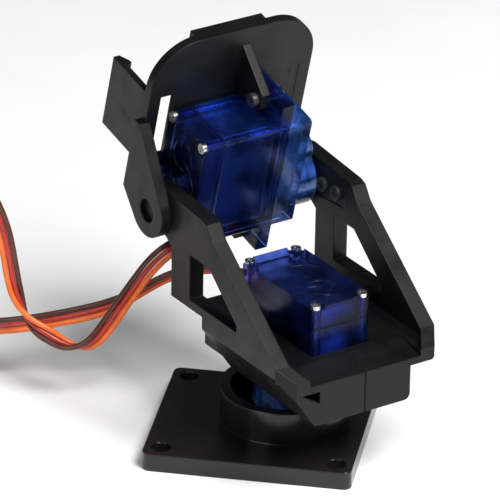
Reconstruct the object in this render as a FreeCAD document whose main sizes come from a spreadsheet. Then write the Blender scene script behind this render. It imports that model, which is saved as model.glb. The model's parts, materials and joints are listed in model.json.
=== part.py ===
import FreeCAD, Part
import math
import os
import Sketcher

# Pan and tilt camera mount driven by two 9 g micro servos.
#
# Frame: +Z up, origin where the pan axis meets the underside of the base, base edges along X and Y.
# The yoke is drawn at pan 0 and the head at tilt 0; each sub-part's Placement then turns it to the
# rest pose.  Both servos are drawn once in their own frame: origin on the outside of the bottom
# cover, +Z along the output shaft, -Y towards the end of the case that is far from the shaft.

doc = FreeCAD.newDocument("pan_tilt_mount")
sheet = doc.addObject("Spreadsheet::Sheet", "Sheet")
Vector = FreeCAD.Vector

DRIVING = [
    # rest pose
    ("pan_rest", 43.0, "pan angle at rest, degrees"),
    ("tilt_rest", 14.4, "tilt angle at rest, degrees, positive leans the head back"),
    ("running_gap", 0.05, "radial gap of a part that turns in another"),
    ("fit_gap", 0.02, "gap between parts that are held together"),
    # base
    ("base_width", 37.6, "base plate along X"),
    ("base_depth", 34.2, "base plate along Y"),
    ("base_thick", 3.4, "base plate"),
    ("base_shift_x", -3.8, "centre of the base plate from the pan axis"),
    ("base_shift_y", -2.6, "centre of the base plate from the pan axis"),
    ("base_corner", 1.5, "corner radius of the base plate"),
    ("base_hole_inset", 3.1, "mounting hole centre from the plate's edges"),
    ("base_hole_dia", 3.5, "mounting hole"),
    ("cup_radius", 11.8, "outside of the cup"),
    ("cup_wall", 1.9, "cup wall"),
    ("cup_top", 9.6, "height of the cup's rim"),
    ("cup_floor", 2.1, "top of the floor inside the cup"),
    ("pilot_floor", 0.4, "bottom of the blind holes for the horn screws"),
    ("access_dia", 5.0, "hole below the horn's centre screw"),
    # servo
    ("servo_width", 12.2, "servo case across"),
    ("servo_near", 5.9, "shaft axis to the near end of the case"),
    ("servo_far", 16.9, "shaft axis to the far end of the case"),
    ("servo_cover_top", 4.5, "bottom cover meets the case body"),
    ("servo_deck_low", 15.6, "deck between motor and gears, underside"),
    ("servo_deck_top", 16.9, "deck between motor and gears, top"),
    ("flange_low", 15.5, "underside of the mounting flange"),
    ("flange_top", 18.0, "top of the flange, where the gear cover starts"),
    ("flange_reach", 4.7, "flange past each end of the case"),
    ("flange_hole_dia", 2.2, "mounting hole in the flange"),
    ("flange_hole_at", 2.8, "mounting hole from the end of the case"),
    ("servo_top", 22.6, "flat top of the gear cover"),
    ("turret_top", 26.7, "top of the round turret"),
    ("turret_radius", 5.9, "turret"),
    ("bump_radius", 2.95, "small turret over the second gear axis"),
    ("case_corner", 0.8, "corner radius of the case"),
    ("servo_wall", 1.0, "case wall"),
    ("post_across", 1.5, "corner post, across the case"),
    ("post_along", 0.9, "corner post, along the case"),
    ("case_screw_across", 4.9, "case screw from the middle of the case"),
    ("case_screw_inset", 1.0, "case screw from the end of the case"),
    ("gear_module", 0.3, "output gears"),
    ("motor_gear_module", 0.24, "first gear pair"),
    ("small_teeth", 10, "teeth of every pinion"),
    ("large_teeth", 30, "teeth of every wheel"),
    ("spline_dia", 4.6, "output spline"),
    ("spline_end", 28.3, "end of the output spline"),
    ("horn_start", 26.9, "horn hub starts"),
    ("hub_dia", 7.0, "horn hub"),
    ("horn_arm_thick", 1.5, "horn arm"),
    ("horn_web", 0.7, "web of the horn under the centre screw"),
    # yoke
    ("pan_servo_top", 33.5, "outside of the pan servo's bottom cover above the base underside"),
    ("arm_outer", 16.85, "outer face of each arm from the middle"),
    ("arm_thick", 2.95, "arm"),
    ("arm_rear", -21.4, "rear end of the arms, where their feet turn inwards"),
    ("arm_front", 12.1, "front edge of the arms below the pivot"),
    ("skirt_front", 2.0, "front end of the trough between the arms"),
    ("trough_floor", 24.1, "top of the trough floor"),
    ("trough_under", 21.7, "underside of the trough floor"),
    ("floor_edge", 23.0, "top of the floor at its rear edge"),
    ("floor_ramp", 6.0, "length of the slope down to the rear edge"),
    ("inner_bevel", 1.0, "45 degree bevel inside the trough"),
    ("outer_bevel", 2.6, "45 degree bevel under the trough"),
    ("foot_taper", 2.2, "how far the arm feet turn inwards at the rear face"),
    ("foot_end", 24.3, "top of the arm feet at the rear face"),
    ("web_foot", 1.0, "foot of the left gusset beside the servo box"),
    ("web_void", 2.4, "opening between the left gusset and the floor, at the box"),
    ("web_void_reach", 3.8, "width of that opening"),
    ("seam_groove", 0.25, "bevel on the rear edge of the seam between the halves"),
    ("band_low", 26.6, "underside of the arm ahead of the trough"),
    ("box_half", 9.6, "half width of the servo box"),
    ("box_rear", -24.8, "rear face of the servo box and the trough"),
    ("box_front", 11.9, "front face of the servo box"),
    ("box_under", 15.15, "underside of the servo box"),
    ("lip_drop", 1.05, "lip that holds the servo flange from below"),
    ("lip_inset", 2.3, "lip inside the outline of the box"),
    ("box_corner", 1.2, "rounded lower edge of the servo box"),
    ("slope_foot", 26.4, "height of the arm's top edge at its rear end"),
    ("pivot_y", 17.04, "tilt axis ahead of the pan axis"),
    ("pivot_z", 41.8, "tilt axis above the base underside"),
    ("arm_eye", 4.9, "round end of the arms about the tilt axis"),
    ("peg_dia", 4.3, "pivot peg on the left arm"),
    ("peg_recess", 0.9, "end of the peg below the outside of the ear"),
    ("yoke_screw_dia", 1.8, "screws that join the two yoke halves"),
    # head
    ("ear_thick", 2.1, "ear on the pivot peg"),
    ("ear_gap", 0.1, "ear to the left arm"),
    ("ear_radius", 5.0, "round end of the ear"),
    ("tilt_servo_start", -13.4, "outside of the tilt servo's bottom cover from the middle"),
    ("plate_back", 6.4, "back of the camera plate ahead of the tilt axis"),
    ("plate_thick", 1.7, "camera plate"),
    ("plate_mid", -0.8, "middle of the camera plate"),
    ("plate_half", 17.1, "half width of the camera plate"),
    ("plate_top", 30.6, "top edge above the tilt axis"),
    ("plate_low", 0.0, "bottom edge at the tilt axis height"),
    ("plate_corner", 9.0, "top corner radius"),
    ("tongue_low", -10.7, "bottom of the tongue behind the servo"),
    ("tongue_half", 7.0, "half width of the tongue"),
    ("slot_offset", 13.0, "slots from the middle of the plate"),
    ("slot_width", 3.3, "slots beside the camera bay"),
    ("slot_low", 5.8, "lower end of the slots"),
    ("slot_high", 19.7, "upper end of the slots"),
    ("clip_thick", 1.2, "camera clip"),
    ("clip_reach", 10.8, "camera clip ahead of the plate"),
    ("clip_low", 5.8, "lower end of the clips"),
    ("clip_high", 20.5, "upper end of the clips"),
    ("clip_barb", 1.0, "barb of the clip"),
    ("ledge_half", 7.45, "half width of the ledge at the top edge"),
    ("ledge_shift", -1.0, "ledge from the middle of the plate"),
    ("ledge_reach", 1.5, "ledge ahead of the plate"),
    ("ledge_height", 1.6, "ledge"),
    ("fin_thick", 1.7, "fins that carry the servo flange"),
    ("fin_top", 27.4, "upper fin where it leaves the plate"),
    ("fin_nose_high", 21.5, "upper fin at its nose"),
    ("fin_nose", -1.8, "nose of both fins"),
    ("fin_low", 18.6, "underside of the upper fin at its nose"),
    # cables
    ("wire_dia", 1.0, "one wire"),
    ("wire_pitch", 1.02, "spacing of the three wires"),
    ("cable_clear", 8.8, "the tilt cable is parted at this radius about the tilt axis"),
    ("plug_length", 14.0, "plug at the end of a cable"),
    ("plug_width", 7.6, "plug across the three contacts"),
    ("plug_thick", 2.5, "plug"),
    ("wire_height", 3.65, "wires above the outside of the bottom cover"),
]

DERIVED = [
    ("middle_axis", "=(large_teeth + small_teeth) * gear_module / 2",
     "output axis to the axis of gears 1 and 3"),
    ("motor_axis", "=middle_axis + (large_teeth + small_teeth) * motor_gear_module / 2",
     "output axis to the motor axis"),
    ("arm_inner", "=arm_outer - arm_thick", "inner face of each arm from the middle"),
]

for row, (alias, value, note) in enumerate(DRIVING + DERIVED, start=1):
    sheet.set("A%d" % row, alias)
    sheet.set("B%d" % row, str(value))
    sheet.set("C%d" % row, note)
    sheet.setAlias("B%d" % row, alias)
doc.recompute()


def value_of(text):
    """The number an expression in sheet aliases stands for."""
    return float(sheet.evalExpression(spell(text)))


def spell(text):
    """An expression in bare aliases, written the way FreeCAD resolves it."""
    words = []
    word = ""
    for mark in str(text) + " ":
        if mark.isalnum() or mark == "_":
            word += mark
            continue
        words.append("Sheet." + word if word in ALIASES else word)
        words.append(mark)
        word = ""
    return "".join(words).strip()


ALIASES = {alias for alias, value, note in DRIVING + DERIVED}
size = {alias: float(sheet.get(alias)) for alias in ALIASES}


# ---------------------------------------------------------------- sketch and feature helpers

def new_body(label):
    body = doc.addObject("PartDesign::Body", label)
    body.Label = label
    return body


def new_sketch(body, plane, offset="0"):
    """A sketch on one of the body's own origin planes, moved along the plane's normal."""
    sketch = body.newObject("Sketcher::SketchObject", body.Name + "_sketch")
    support = [item for item in body.Origin.OriginFeatures if item.Role == plane][0]
    sketch.AttachmentSupport = [(support, "")]
    sketch.MapMode = "FlatFace"
    sketch.setExpression("AttachmentOffset.Base.z", spell(offset))
    return sketch


def pin_point(sketch, geometry, end, u, v):
    """Holds one point of the sketch at a pair of expressions."""
    for kind, text in (("DistanceX", u), ("DistanceY", v)):
        index = sketch.addConstraint(
            Sketcher.Constraint(kind, -1, 1, geometry, end, value_of(text)))
        sketch.setExpression("Constraints[%d]" % index, spell(text))


def draw_polygon(sketch, points):
    corners = [Vector(value_of(u), value_of(v), 0) for u, v in points]
    first = sketch.GeometryCount
    count = len(points)
    for index in range(count):
        sketch.addGeometry(Part.LineSegment(corners[index], corners[(index + 1) % count]), False)
    for index in range(count):
        following = first + (index + 1) % count
        sketch.addConstraint(Sketcher.Constraint("Coincident", first + index, 2, following, 1))
    for index, (u, v) in enumerate(points):
        pin_point(sketch, first + index, 1, u, v)


def draw_circle(sketch, u, v, radius):
    centre = Vector(value_of(u), value_of(v), 0)
    circle = sketch.addGeometry(Part.Circle(centre, Vector(0, 0, 1), value_of(radius)), False)
    pin_point(sketch, circle, 3, u, v)
    index = sketch.addConstraint(Sketcher.Constraint("Radius", circle, value_of(radius)))
    sketch.setExpression("Constraints[%d]" % index, spell(radius))


def extrude(body, kind, sketch, length, along_normal=True):
    """Pad or Pocket from the sketch; along_normal says which side of the sketch it works on."""
    feature = body.newObject("PartDesign::" + kind, body.Name + "_" + kind.lower())
    feature.Profile = sketch
    feature.setExpression("Length", spell(length))
    feature.Reversed = along_normal if kind == "Pocket" else not along_normal
    sketch.Visibility = False
    body.Tip = feature
    return feature


def add_block(body, plane, points, start, length, kind="Pad"):
    sketch = new_sketch(body, plane, start)
    draw_polygon(sketch, points)
    return extrude(body, kind, sketch, length)


def add_round(body, plane, u, v, radius, start, length, kind="Pad"):
    sketch = new_sketch(body, plane, start)
    draw_circle(sketch, u, v, radius)
    return extrude(body, kind, sketch, length)


def rectangle(u_low, v_low, u_high, v_high):
    return [(u_low, v_low), (u_high, v_low), (u_high, v_high), (u_low, v_high)]


def round_edges(body, radius, wanted):
    """Fillets every edge of the body so far for which wanted(edge) is true."""
    doc.recompute()
    tip = body.Tip
    names = ["Edge%d" % (i + 1) for i, edge in enumerate(tip.Shape.Edges) if wanted(edge)]
    fillet = body.newObject("PartDesign::Fillet", body.Name + "_fillet")
    fillet.Base = (tip, names)
    fillet.setExpression("Radius", spell(radius))
    body.Tip = fillet
    return fillet


def is_line_along(edge, axis):
    if edge.Curve.TypeId != "Part::GeomLine":
        return False
    return abs(abs(edge.Curve.Direction.dot(axis)) - 1) < 1e-6


def solids_node(label, shapes):
    """A node for repeated or swept pieces, each its own solid."""
    node = doc.addObject("Part::Feature", label)
    node.Label = label
    node.Shape = Part.makeCompound(shapes)
    return node


def cylinder(radius, low, high, x=0, y=0):
    return Part.makeCylinder(radius, high - low, Vector(x, y, low))


# ---------------------------------------------------------------- where each group stands

def placement(position, x_axis, y_axis, z_axis):
    matrix = FreeCAD.Matrix(
        x_axis.x, y_axis.x, z_axis.x, position.x,
        x_axis.y, y_axis.y, z_axis.y, position.y,
        x_axis.z, y_axis.z, z_axis.z, position.z,
        0, 0, 0, 1)
    return FreeCAD.Placement(matrix)


X_AXIS = Vector(1, 0, 0)
Y_AXIS = Vector(0, 1, 0)
Z_AXIS = Vector(0, 0, 1)
BASE = FreeCAD.Placement()
YOKE = FreeCAD.Placement(Vector(), FreeCAD.Rotation(Z_AXIS, size["pan_rest"]))
PIVOT = FreeCAD.Placement(Vector(0, size["pivot_y"], size["pivot_z"]), FreeCAD.Rotation())
TILT = FreeCAD.Placement(Vector(), FreeCAD.Rotation(X_AXIS, size["tilt_rest"]))
HEAD = YOKE * PIVOT * TILT
# The pan servo hangs upside down on the pan axis.
PAN_SERVO_AT = placement(Vector(0, 0, size["pan_servo_top"]), X_AXIS * -1, Y_AXIS, Z_AXIS * -1)
# The tilt servo lies on its side with its shaft on the tilt axis, pointing at the right arm.
TILT_SERVO_AT = placement(Vector(size["tilt_servo_start"], 0, 0), Y_AXIS * -1, Z_AXIS * -1, X_AXIS)


# ---------------------------------------------------------------- base

def make_base_plate():
    body = new_body("base_plate")
    left = "base_shift_x - base_width / 2"
    right = "base_shift_x + base_width / 2"
    near = "base_shift_y - base_depth / 2"
    far = "base_shift_y + base_depth / 2"
    add_block(body, "XY_Plane", rectangle(left, near, right, far), "0", "base_thick")
    round_edges(body, "base_corner", lambda edge: is_line_along(edge, Z_AXIS))
    add_round(body, "XY_Plane", "0", "0", "cup_radius", "0", "cup_top")
    add_round(body, "XY_Plane", "0", "0", "cup_radius - cup_wall", "cup_floor", "cup_top", "Pocket")
    add_round(body, "XY_Plane", "0", "0", "access_dia / 2", "0", "cup_top", "Pocket")
    holes = new_sketch(body, "XY_Plane")
    for u in (left + " + base_hole_inset", right + " - base_hole_inset"):
        for v in (near + " + base_hole_inset", far + " - base_hole_inset"):
            draw_circle(holes, u, v, "base_hole_dia / 2")
    extrude(body, "Pocket", holes, "base_thick")
    pilots = new_sketch(body, "XY_Plane", "pilot_floor")
    for u in HORN_SCREWS["pan"]:
        draw_circle(pilots, str(u), "0", str(HORN_SCREW_RADIUS + size["fit_gap"]))
    extrude(body, "Pocket", pilots, "cup_floor")
    body.Placement = BASE


# ---------------------------------------------------------------- fasteners

def screw(shank_radius, shank_length, head_radius, head_height):
    """A screw pointing along +Z with its head below z = 0 and a cross slot in the head."""
    head = cylinder(head_radius, -head_height, 0)
    shank = cylinder(shank_radius, 0, shank_length)
    tip = Part.makeCone(shank_radius, shank_radius * 0.4, shank_radius, Vector(0, 0, shank_length))
    solid = head.fuse([shank, tip]).removeSplitter()
    slot_width = head_radius * 0.3
    slot_length = head_radius * 1.3
    for length, width in ((slot_length, slot_width), (slot_width, slot_length)):
        bar = Part.makeBox(length, width, head_height / 2,
                           Vector(-length / 2, -width / 2, -head_height))
        solid = solid.cut(bar)
    return solid


def moved(shape, position, direction=None):
    """A copy of the shape turned so that its +Z points along direction, then moved."""
    copy = shape.copy()
    turn = FreeCAD.Rotation(Z_AXIS, direction) if direction else FreeCAD.Rotation()
    copy.Placement = FreeCAD.Placement(position, turn)
    return copy


# ---------------------------------------------------------------- servo horn

HORN_SCREW_RADIUS = 0.75
HORN_SCREW_HEAD = 1.4
HORN_SCREW_HEAD_HEIGHT = 0.6
HORN_SCREW_LENGTH = {"pan": 2.3, "tilt": 1.9}
# Distances of the two small screws from the shaft axis along the horn's arms.
HORN_SCREWS = {"pan": (-7.0, 7.0), "tilt": (7.0, 11.3)}
# Ends of the horn's arms along X, both seen in the servo's frame.
HORN_ENDS = {"pan": (-9.3, 9.3), "tilt": (0.0, 13.8)}
HORN_HUB_TOP = {"pan": 31.4, "tilt": 29.7}
HORN_ARM_START = {"pan": 29.9, "tilt": 27.4}
HORN_ARM_END_WIDTH = 4.0
HORN_ROOT_STEP = 0.4
CENTRE_SCREW_RADIUS = 0.95
CENTRE_SCREW_HEAD = 1.9
CENTRE_SCREW_HEAD_HEIGHT = 1.1
CENTRE_SCREW_LENGTH = 4.4


def horn_outline(servo, margin=0.0):
    """Corners of the tapering arm, from one end to the other through the hub."""
    low, high = HORN_ENDS[servo]
    root = size["hub_dia"] / 2 - HORN_ROOT_STEP + margin
    end = HORN_ARM_END_WIDTH / 2 + margin
    corners = [(0.0, root), (high + margin, end), (high + margin, -end), (0.0, -root)]
    if low < 0:
        corners += [(low - margin, -end), (low - margin, end)]
    return corners


def make_horn(servo):
    body = new_body(servo + "_horn")
    add_round(body, "XY_Plane", "0", "0", "hub_dia / 2", "horn_start",
              "%g - horn_start" % HORN_HUB_TOP[servo])
    outline = [(str(x), str(y)) for x, y in horn_outline(servo)]
    add_block(body, "XY_Plane", outline, str(HORN_ARM_START[servo]), "horn_arm_thick")
    add_round(body, "XY_Plane", "0", "0", "spline_dia / 2 + fit_gap", "horn_start",
              "spline_end + fit_gap - horn_start", "Pocket")
    add_round(body, "XY_Plane", "0", "0", "%g" % (CENTRE_SCREW_RADIUS + size["fit_gap"]),
              "horn_start", "10", "Pocket")
    add_round(body, "XY_Plane", "0", "0", "%g" % (CENTRE_SCREW_HEAD + size["fit_gap"]),
              "spline_end + fit_gap + horn_web", "10", "Pocket")
    holes = new_sketch(body, "XY_Plane", str(HORN_ARM_START[servo]))
    for u in HORN_SCREWS[servo]:
        draw_circle(holes, str(u), "0", str(HORN_SCREW_RADIUS + size["fit_gap"]))
    extrude(body, "Pocket", holes, "horn_arm_thick")
    return body


def make_horn_centre_screw(servo):
    """Runs through the horn into the end of the output spline."""
    head_seat = size["spline_end"] + size["fit_gap"] + size["horn_web"]
    body = screw(CENTRE_SCREW_RADIUS, CENTRE_SCREW_LENGTH, CENTRE_SCREW_HEAD,
                 CENTRE_SCREW_HEAD_HEIGHT)
    return solids_node(servo + "_horn_centre_screw",
                       [moved(body, Vector(0, 0, head_seat), Z_AXIS * -1)])


def make_horn_screws(servo):
    body = screw(HORN_SCREW_RADIUS, HORN_SCREW_LENGTH[servo], HORN_SCREW_HEAD,
                 HORN_SCREW_HEAD_HEIGHT)
    spots = [Vector(x, 0, HORN_ARM_START[servo]) for x in HORN_SCREWS[servo]]
    return solids_node(servo + "_horn_screws", [moved(body, spot) for spot in spots])


# ---------------------------------------------------------------- servo case

def case_cavity():
    """Inside outline of the case: a rectangle whose corners are filled by the screw posts."""
    across = "servo_width / 2 - servo_wall"
    near = "servo_near - servo_wall"
    far = "0 - servo_far + servo_wall"
    step_u = across + " - post_across"
    near_step = near + " - post_along"
    far_step = far + " + post_along"
    minus_across = "servo_wall - servo_width / 2"
    minus_step = minus_across + " + post_across"
    return [(across, far_step), (across, near_step), (step_u, near_step), (step_u, near),
            (minus_step, near), (minus_step, near_step), (minus_across, near_step),
            (minus_across, far_step), (minus_step, far_step), (minus_step, far),
            (step_u, far), (step_u, far_step)]


def case_outline():
    return rectangle("0 - servo_width / 2", "0 - servo_far", "servo_width / 2", "servo_near")


def case_screw_spots():
    rows = (size["servo_near"] - size["case_screw_inset"],
            size["case_screw_inset"] - size["servo_far"])
    return [(x, y) for x in (-size["case_screw_across"], size["case_screw_across"]) for y in rows]


WIPER_RADIUS = 0.9
PIN_RADIUS = 0.5
PIN_END = 25.2
MOTOR_BOSS = 1.6
CASE_SCREW_RADIUS = 0.5
CASE_SCREW_HEAD = 0.95
CASE_SCREW_LENGTH = 18.8
CASE_SCREW_HEAD_HEIGHT = 0.8
CASE_SCREW_SEAT = 0.7
CASE_SCREW_SINK = 1.55
NUB_RADIUS = 0.55
NUB_HEIGHT = 0.3
GROOVE_WIDTH = 0.35
GROOVE_DEPTH = 0.15
MIDDLE_RING = 4.6
MOTOR_RING = 3.1
CABLE_SLOT_HEIGHT = 1.6
WIPER_CLEARANCE = 0.2


def drill_case_screws(body, start, length, radius):
    sketch = new_sketch(body, "XY_Plane", start)
    for x, y in case_screw_spots():
        draw_circle(sketch, "%g" % x, "%g" % y, "%g" % radius)
    extrude(body, "Pocket", sketch, length)


def round_case_corners(body):
    half = size["servo_width"] / 2
    round_edges(body, "case_corner", lambda edge: is_line_along(edge, Z_AXIS)
                and abs(abs(edge.Vertexes[0].X) - half) < 1e-6)


def add_groove(body, y, radius):
    """A shallow ring moulded into the face at z = 0."""
    ring = new_sketch(body, "XY_Plane")
    draw_circle(ring, "0", y, "%g" % radius)
    draw_circle(ring, "0", y, "%g" % (radius - GROOVE_WIDTH))
    extrude(body, "Pocket", ring, "%g" % GROOVE_DEPTH)


def make_bottom_cover(servo):
    """Cover with sunk corners for the screw heads, a centre nub and two ring marks."""
    body = new_body(servo + "_servo_bottom_cover")
    add_block(body, "XY_Plane", case_outline(), "0", "servo_cover_top")
    round_case_corners(body)
    centre = "(servo_near - servo_far) / 2"
    add_round(body, "XY_Plane", "0", centre, "%g" % NUB_RADIUS, "%g" % -NUB_HEIGHT,
              "%g" % (NUB_HEIGHT + 0.5))
    add_groove(body, centre, MIDDLE_RING)
    add_groove(body, "0 - motor_axis", MOTOR_RING)
    add_block(body, "XY_Plane", case_cavity(), "servo_wall", "servo_cover_top", "Pocket")
    slot = rectangle("0 - 1.5 * wire_pitch - 0.1", "servo_cover_top - %g" % CABLE_SLOT_HEIGHT,
                     "1.5 * wire_pitch + 0.1", "servo_cover_top")
    add_block(body, "XZ_Plane", slot, "0 - servo_near", "servo_wall", "Pocket")
    drill_case_screws(body, "0", "servo_cover_top", CASE_SCREW_RADIUS + size["fit_gap"])
    drill_case_screws(body, "0", "%g" % CASE_SCREW_SEAT, CASE_SCREW_SINK)
    return body


def make_case_body(servo):
    body = new_body(servo + "_servo_case_body")
    add_block(body, "XY_Plane", case_outline(), "servo_cover_top", "flange_top - servo_cover_top")
    round_case_corners(body)
    flange = rectangle("0 - servo_width / 2", "0 - servo_far - flange_reach",
                       "servo_width / 2", "servo_near + flange_reach")
    add_block(body, "XY_Plane", flange, "flange_low", "flange_top - flange_low")
    add_block(body, "XY_Plane", case_cavity(), "servo_cover_top",
              "servo_deck_low - servo_cover_top", "Pocket")
    add_block(body, "XY_Plane", case_cavity(), "servo_deck_top",
              "flange_top - servo_deck_top", "Pocket")
    holes = new_sketch(body, "XY_Plane", "flange_low")
    draw_circle(holes, "0", "servo_near + flange_hole_at", "flange_hole_dia / 2")
    draw_circle(holes, "0", "0 - servo_far - flange_hole_at", "flange_hole_dia / 2")
    extrude(body, "Pocket", holes, "flange_top - flange_low")
    deck = new_sketch(body, "XY_Plane", "servo_deck_low")
    draw_circle(deck, "0", "0", "%g" % (WIPER_RADIUS + WIPER_CLEARANCE))
    draw_circle(deck, "0", "0 - middle_axis", "%g" % (PIN_RADIUS + size["fit_gap"]))
    draw_circle(deck, "0", "0 - motor_axis", "%g" % MOTOR_BOSS)
    extrude(body, "Pocket", deck, "servo_deck_top - servo_deck_low")
    drill_case_screws(body, "servo_cover_top", "flange_top - servo_cover_top",
                      CASE_SCREW_RADIUS + size["fit_gap"])
    return body


GEAR_ROOF = 21.6
TURRET_ROOF = 23.6
BUMP_ROOF = 24.2
HUB_RADIUS = 2.8
TURRET_WALL = 0.9
BUMP_WALL = 0.8
CASE_SCREW_BLIND = 2.1


def make_gear_cover(servo):
    body = new_body(servo + "_servo_gear_cover")
    add_block(body, "XY_Plane", case_outline(), "flange_top", "servo_top - flange_top")
    round_case_corners(body)
    add_round(body, "XY_Plane", "0", "0", "turret_radius", "flange_top", "turret_top - flange_top")
    add_round(body, "XY_Plane", "0", "0 - middle_axis", "bump_radius", "flange_top",
              "turret_top - flange_top")
    add_block(body, "XY_Plane", case_cavity(), "flange_top", "%g - flange_top" % GEAR_ROOF, "Pocket")
    add_round(body, "XY_Plane", "0", "0", "turret_radius - %g" % TURRET_WALL, "flange_top",
              "%g - flange_top" % TURRET_ROOF, "Pocket")
    add_round(body, "XY_Plane", "0", "0 - middle_axis", "bump_radius - %g" % BUMP_WALL, "flange_top",
              "%g - flange_top" % BUMP_ROOF, "Pocket")
    add_round(body, "XY_Plane", "0", "0 - middle_axis", "%g" % (PIN_RADIUS + size["fit_gap"]),
              "flange_top", "%g - flange_top" % PIN_END, "Pocket")
    add_round(body, "XY_Plane", "0", "0", "%g + running_gap" % HUB_RADIUS, "flange_top",
              "turret_top - flange_top", "Pocket")
    drill_case_screws(body, "flange_top", "%g" % CASE_SCREW_BLIND, CASE_SCREW_RADIUS + size["fit_gap"])
    return body


def make_case_screws(servo):
    body = screw(CASE_SCREW_RADIUS, CASE_SCREW_LENGTH, CASE_SCREW_HEAD, CASE_SCREW_HEAD_HEIGHT)
    spots = [Vector(x, y, CASE_SCREW_SEAT) for x, y in case_screw_spots()]
    return solids_node(servo + "_servo_case_screws", [moved(body, spot) for spot in spots])


# ---------------------------------------------------------------- servo drive

MOTOR_SHAFT = 0.4
MOTOR_RADIUS = 4.8
MOTOR_LOW = 3.2


def gear_ring(teeth, module, low, high, gap_towards, backlash=0.05):
    """Straight-flanked gear teeth; gap_towards is the angle, in degrees, of one tooth gap."""
    pitch_radius = teeth * module / 2
    tip = pitch_radius + 0.8 * module
    root = pitch_radius - 1.1 * module
    half_pitch = math.pi * module / 2
    # half tooth thickness at root, pitch and tip circles
    widths = ((root, (half_pitch * 1.42 - backlash) / 2),
              (pitch_radius, (half_pitch - 2 * backlash) / 2),
              (tip, (half_pitch * 0.52 - backlash) / 2))
    step = 2 * math.pi / teeth
    first = math.radians(gap_towards) + step / 2
    points = []
    for index in range(teeth):
        middle = first + index * step
        for radius, half in widths:
            angle = middle - half / radius
            points.append(Vector(radius * math.cos(angle), radius * math.sin(angle), low))
        for radius, half in reversed(widths):
            angle = middle + half / radius
            points.append(Vector(radius * math.cos(angle), radius * math.sin(angle), low))
    face = Part.Face(Part.makePolygon(points + points[:1]))
    return face.extrude(Vector(0, 0, high - low))


def tooth_towards(teeth, angle):
    """The gap angle of a gear whose tooth points at the given angle."""
    return angle + 180.0 / teeth


# Heights of the gear layers above the outside of the bottom cover.
FIRST_LAYER = (17.3, 18.3)
SECOND_LAYER = (18.6, 19.6)
THIRD_LAYER = (20.0, 21.0)
OUTPUT_LAYER = (21.4, 23.4)
TOWARDS_NEAR = 90.0
TOWARDS_FAR = -90.0


def make_output_gear(servo, far_angle):
    """Output wheel, hub and spline; far_angle is where the far end of the case lies at rest."""
    wheel = gear_ring(int(size["large_teeth"]), size["gear_module"], *OUTPUT_LAYER, far_angle)
    hub = cylinder(HUB_RADIUS, OUTPUT_LAYER[0], size["turret_top"])
    spline = spline_shape(size["turret_top"], size["spline_end"])
    wiper_socket = cylinder(WIPER_RADIUS + size["fit_gap"], OUTPUT_LAYER[0], 23.0)
    screw_socket = cylinder(CENTRE_SCREW_RADIUS + size["fit_gap"], 23.6, size["spline_end"])
    gear = wheel.fuse([hub, spline]).removeSplitter().cut(wiper_socket).cut(screw_socket)
    return solids_node(servo + "_servo_output_gear", [gear])


SPLINE_TEETH = 21
SPLINE_DEPTH = 0.25


def spline_shape(low, high):
    points = []
    outer = size["spline_dia"] / 2
    for index in range(2 * SPLINE_TEETH):
        radius = outer if index % 2 else outer - SPLINE_DEPTH
        angle = math.pi * index / SPLINE_TEETH
        points.append(Vector(radius * math.cos(angle), radius * math.sin(angle), low))
    face = Part.Face(Part.makePolygon(points + points[:1]))
    return face.extrude(Vector(0, 0, high - low))


def make_wiper(servo):
    """Shaft of the position sensor, driven by the output gear."""
    return solids_node(servo + "_servo_sensor_shaft", [cylinder(WIPER_RADIUS, 10.5, 22.9)])


def compound_gear(label, centre_y, bore, wheel_layer, pinion_layer, wheel_module, wheel_gap,
                  pinion_gap):
    """A wheel and a pinion in one piece, turning about a pin."""
    wheel = gear_ring(int(size["large_teeth"]), wheel_module, *wheel_layer, wheel_gap)
    pinion = gear_ring(int(size["small_teeth"]), size["gear_module"], wheel_layer[0],
                       pinion_layer[1], pinion_gap)
    gear = wheel.fuse(pinion).removeSplitter()
    gear = gear.cut(cylinder(bore, wheel_layer[0], pinion_layer[1]))
    gear.translate(Vector(0, -centre_y, 0))
    return solids_node(label, [gear])


def make_gears(servo):
    """The four stages of the reduction, from the motor to the output."""
    teeth = int(size["small_teeth"])
    pin_bore = PIN_RADIUS + size["running_gap"]
    wiper_bore = WIPER_RADIUS + size["running_gap"]
    module = size["gear_module"]
    first = compound_gear(servo + "_servo_gear_1", size["middle_axis"], pin_bore, FIRST_LAYER,
                          SECOND_LAYER, size["motor_gear_module"], TOWARDS_FAR,
                          tooth_towards(teeth, TOWARDS_NEAR))
    second = compound_gear(servo + "_servo_gear_2", 0, wiper_bore, SECOND_LAYER, THIRD_LAYER,
                           module, TOWARDS_FAR, tooth_towards(teeth, TOWARDS_FAR))
    third = compound_gear(servo + "_servo_gear_3", size["middle_axis"], pin_bore, THIRD_LAYER,
                          OUTPUT_LAYER, module, TOWARDS_NEAR, tooth_towards(teeth, TOWARDS_NEAR))
    return [first, second, third]


def make_motor_pinion(servo):
    teeth = int(size["small_teeth"])
    pinion = gear_ring(teeth, size["motor_gear_module"], 17.1, 18.5,
                       tooth_towards(teeth, TOWARDS_NEAR))
    shaft = cylinder(MOTOR_SHAFT, 14.0, 18.7)
    gear = pinion.fuse(shaft).removeSplitter()
    gear.translate(Vector(0, -size["motor_axis"], 0))
    return solids_node(servo + "_servo_motor_pinion", [gear])


def make_gear_pin(servo):
    pin = cylinder(PIN_RADIUS, size["servo_deck_low"] + 0.2, PIN_END - 0.1, 0, -size["middle_axis"])
    return solids_node(servo + "_servo_gear_pin", [pin])


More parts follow.
